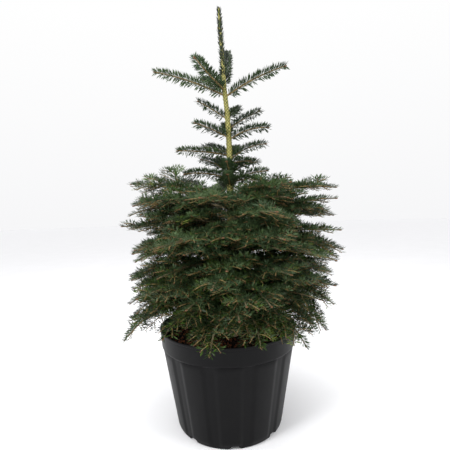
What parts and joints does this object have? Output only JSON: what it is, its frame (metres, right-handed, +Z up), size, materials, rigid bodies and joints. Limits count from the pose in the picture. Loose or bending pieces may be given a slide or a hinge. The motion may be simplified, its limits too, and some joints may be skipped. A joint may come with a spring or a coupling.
{
  "type": "potted nordmann fir",
  "caption": "Young fir tree growing in a round black plastic nursery pot, with open upper whorls, a dense lower crown and a single straight leader.",
  "frame": {"origin": "middle of the pot's flat underside", "axes": "+Z up along the trunk, -Y towards the side seen in the picture, +X to that view's right"},
  "size_m": [0.6829, 0.6237, 1.243],
  "materials": {
    "pot": "satin",
    "soil": "matte",
    "bark": "matte",
    "needles": "satin"
  },
  "bodies": {
    "root": {"pot": "pot", "soil": "soil", "trunk": "bark", "leader_needles": "needles", "top_shoot_left": "needles", "top_shoot_front_left": "needles", "top_shoot_back_left": "needles", "top_shoot_right": "needles", "top_shoot_back": "needles", "left_shoot_1": "needles", "left_shoot_2": "needles", "left_shoot_3": "needles", "left_shoot_4": "needles", "left_shoot_5": "needles", "right_shoot_1": "needles", "right_shoot_2": "needles", "right_shoot_3": "needles", "right_shoot_4": "needles", "right_shoot_5": "needles", "upper_bough_1": "bark", "upper_bough_2": "bark", "upper_bough_3": "bark", "upper_bough_4": "bark", "upper_bough_5": "bark", "upper_bough_6": "bark", "upper_foliage_1": "needles", "upper_foliage_2": "needles", "upper_foliage_3": "needles", "upper_foliage_4": "needles", "upper_foliage_5": "needles", "upper_foliage_6": "needles", "middle_bough_1": "bark", "middle_bough_2": "bark", "middle_bough_3": "bark", "middle_bough_4": "bark", "middle_bough_5": "bark", "middle_bough_6": "bark", "middle_foliage_1": "needles", "middle_foliage_2": "needles", "middle_foliage_3": "needles", "middle_foliage_4": "needles", "middle_foliage_5": "needles", "middle_foliage_6": "needles", "lower_bough_1": "bark", "lower_bough_2": "bark", "lower_bough_3": "bark", "lower_bough_4": "bark", "lower_bough_5": "bark", "lower_bough_6": "bark", "lower_foliage_1": "needles", "lower_foliage_2": "needles", "lower_foliage_3": "needles", "lower_foliage_4": "needles", "lower_foliage_5": "needles", "lower_foliage_6": "needles", "skirt_foliage_1": "needles", "skirt_foliage_2": "needles", "skirt_foliage_3": "needles", "skirt_foliage_4": "needles", "skirt_foliage_5": "needles"}
  },
  "joints": []
}
